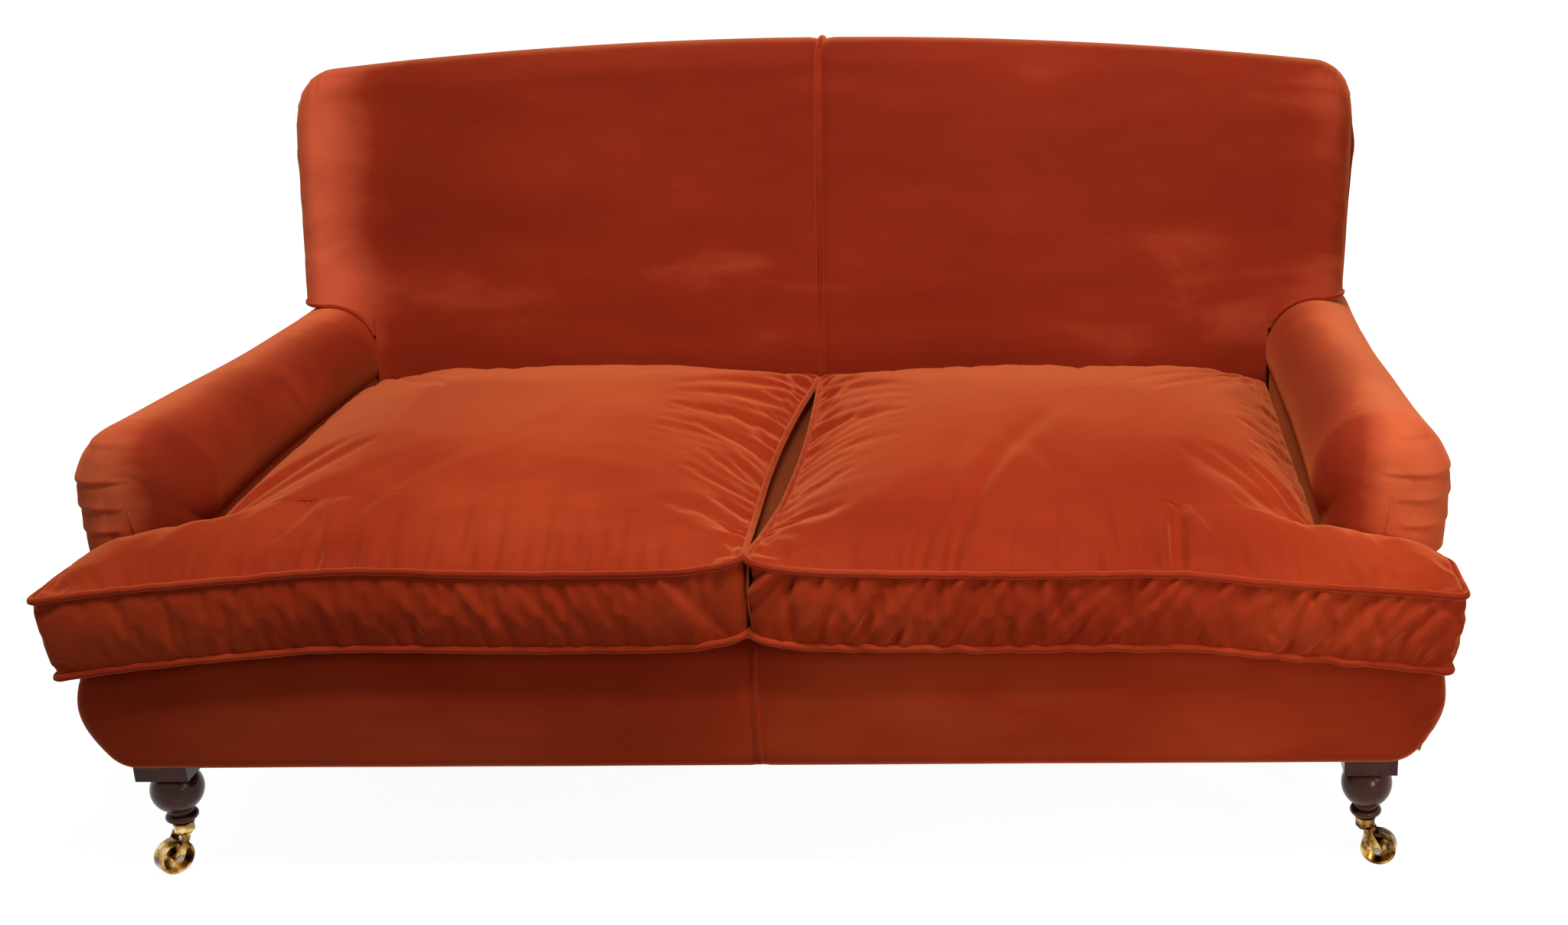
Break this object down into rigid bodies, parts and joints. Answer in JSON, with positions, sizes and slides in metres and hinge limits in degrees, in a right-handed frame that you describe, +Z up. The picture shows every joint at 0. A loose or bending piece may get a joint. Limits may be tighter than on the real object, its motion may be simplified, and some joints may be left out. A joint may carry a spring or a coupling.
{
  "type": "roll-arm sofa",
  "caption": "Roll-arm sofa with an arched tight back, loose eared seat cushions, turned front legs and swivel castors, on a sprung timber frame.",
  "frame": {"origin": "on the floor, midway between the sides and between front and back", "axes": "+X along the sofa's length to the right as seen from the front, -Y to the front, +Z up"},
  "size_m": [1.7568, 0.945, 0.9745],
  "materials": {
    "velvet": "burnt-orange cotton velvet with a short pile",
    "timber": "planed beech, unfinished",
    "jute": "woven jute",
    "cloth": "calico over stuffing",
    "dust_cloth": "black cambric",
    "dark_wood": "dark stained and polished",
    "brass": "polished, slightly worn",
    "steel": "plain steel"
  },
  "bodies": {
    "sofa": {"front_seat_rail": "timber", "rear_seat_rail": "timber", "left_side_rail": "timber", "right_side_rail": "timber", "left_cross_rail": "timber", "right_cross_rail": "timber", "corner_blocks": "timber", "left_back_post": "timber", "right_back_post": "timber", "back_top_rail": "timber", "back_lower_rail": "timber", "back_centre_post": "timber", "left_arm_post": "timber", "right_arm_post": "timber", "left_arm_rail": "timber", "right_arm_rail": "timber", "left_tack_rail": "timber", "right_tack_rail": "timber", "seat_webbing": "jute", "seat_hessian": "jute", "back_webbing": "jute", "seat_deck": "cloth", "back_pad": "velvet", "outside_back": "velvet", "left_arm_pad": "velvet", "right_arm_pad": "velvet", "left_outside_arm": "velvet", "right_outside_arm": "velvet", "front_border": "velvet", "dust_cover": "dust_cloth", "left_front_leg": "dark_wood", "right_front_leg": "dark_wood", "seat_springs": "steel", "leg_bolts": "steel", "left_king_pin": "steel", "right_king_pin": "steel", "left_castor_cup": "brass", "right_castor_cup": "brass"},
    "left_cushion": {"left_seat_cushion": "velvet"},
    "right_cushion": {"right_seat_cushion": "velvet"},
    "left_castor": {"left_castor_fork": "brass", "left_castor_axle": "steel"},
    "left_wheel": {"left_castor_wheel": "brass"},
    "right_castor": {"right_castor_fork": "brass", "right_castor_axle": "steel"},
    "right_wheel": {"right_castor_wheel": "brass"}
  },
  "joints": [
    {"name": "left_cushion_slide", "type": "slide", "parent": "sofa", "child": "left_cushion", "axis": [0, -1, 0], "range_m": [0, 0.75]},
    {"name": "right_cushion_slide", "type": "slide", "parent": "sofa", "child": "right_cushion", "axis": [0, -1, 0], "range_m": [0, 0.75]},
    {"name": "left_castor_swivel", "type": "hinge", "parent": "sofa", "child": "left_castor", "pos_m": [-0.776, -0.4005, 0.05], "axis": [0, 0, 1], "continuous": true},
    {"name": "left_wheel_roll", "type": "hinge", "parent": "left_castor", "child": "left_wheel", "pos_m": [-0.7877, -0.41547, 0.023], "axis": [0.788, -0.6157, 0], "continuous": true},
    {"name": "right_castor_swivel", "type": "hinge", "parent": "sofa", "child": "right_castor", "pos_m": [0.776, -0.4005, 0.05], "axis": [0, 0, 1], "continuous": true},
    {"name": "right_wheel_roll", "type": "hinge", "parent": "right_castor", "child": "right_wheel", "pos_m": [0.79444, -0.4051, 0.023], "axis": [0.2419, 0.9703, 0], "continuous": true}
  ]
}
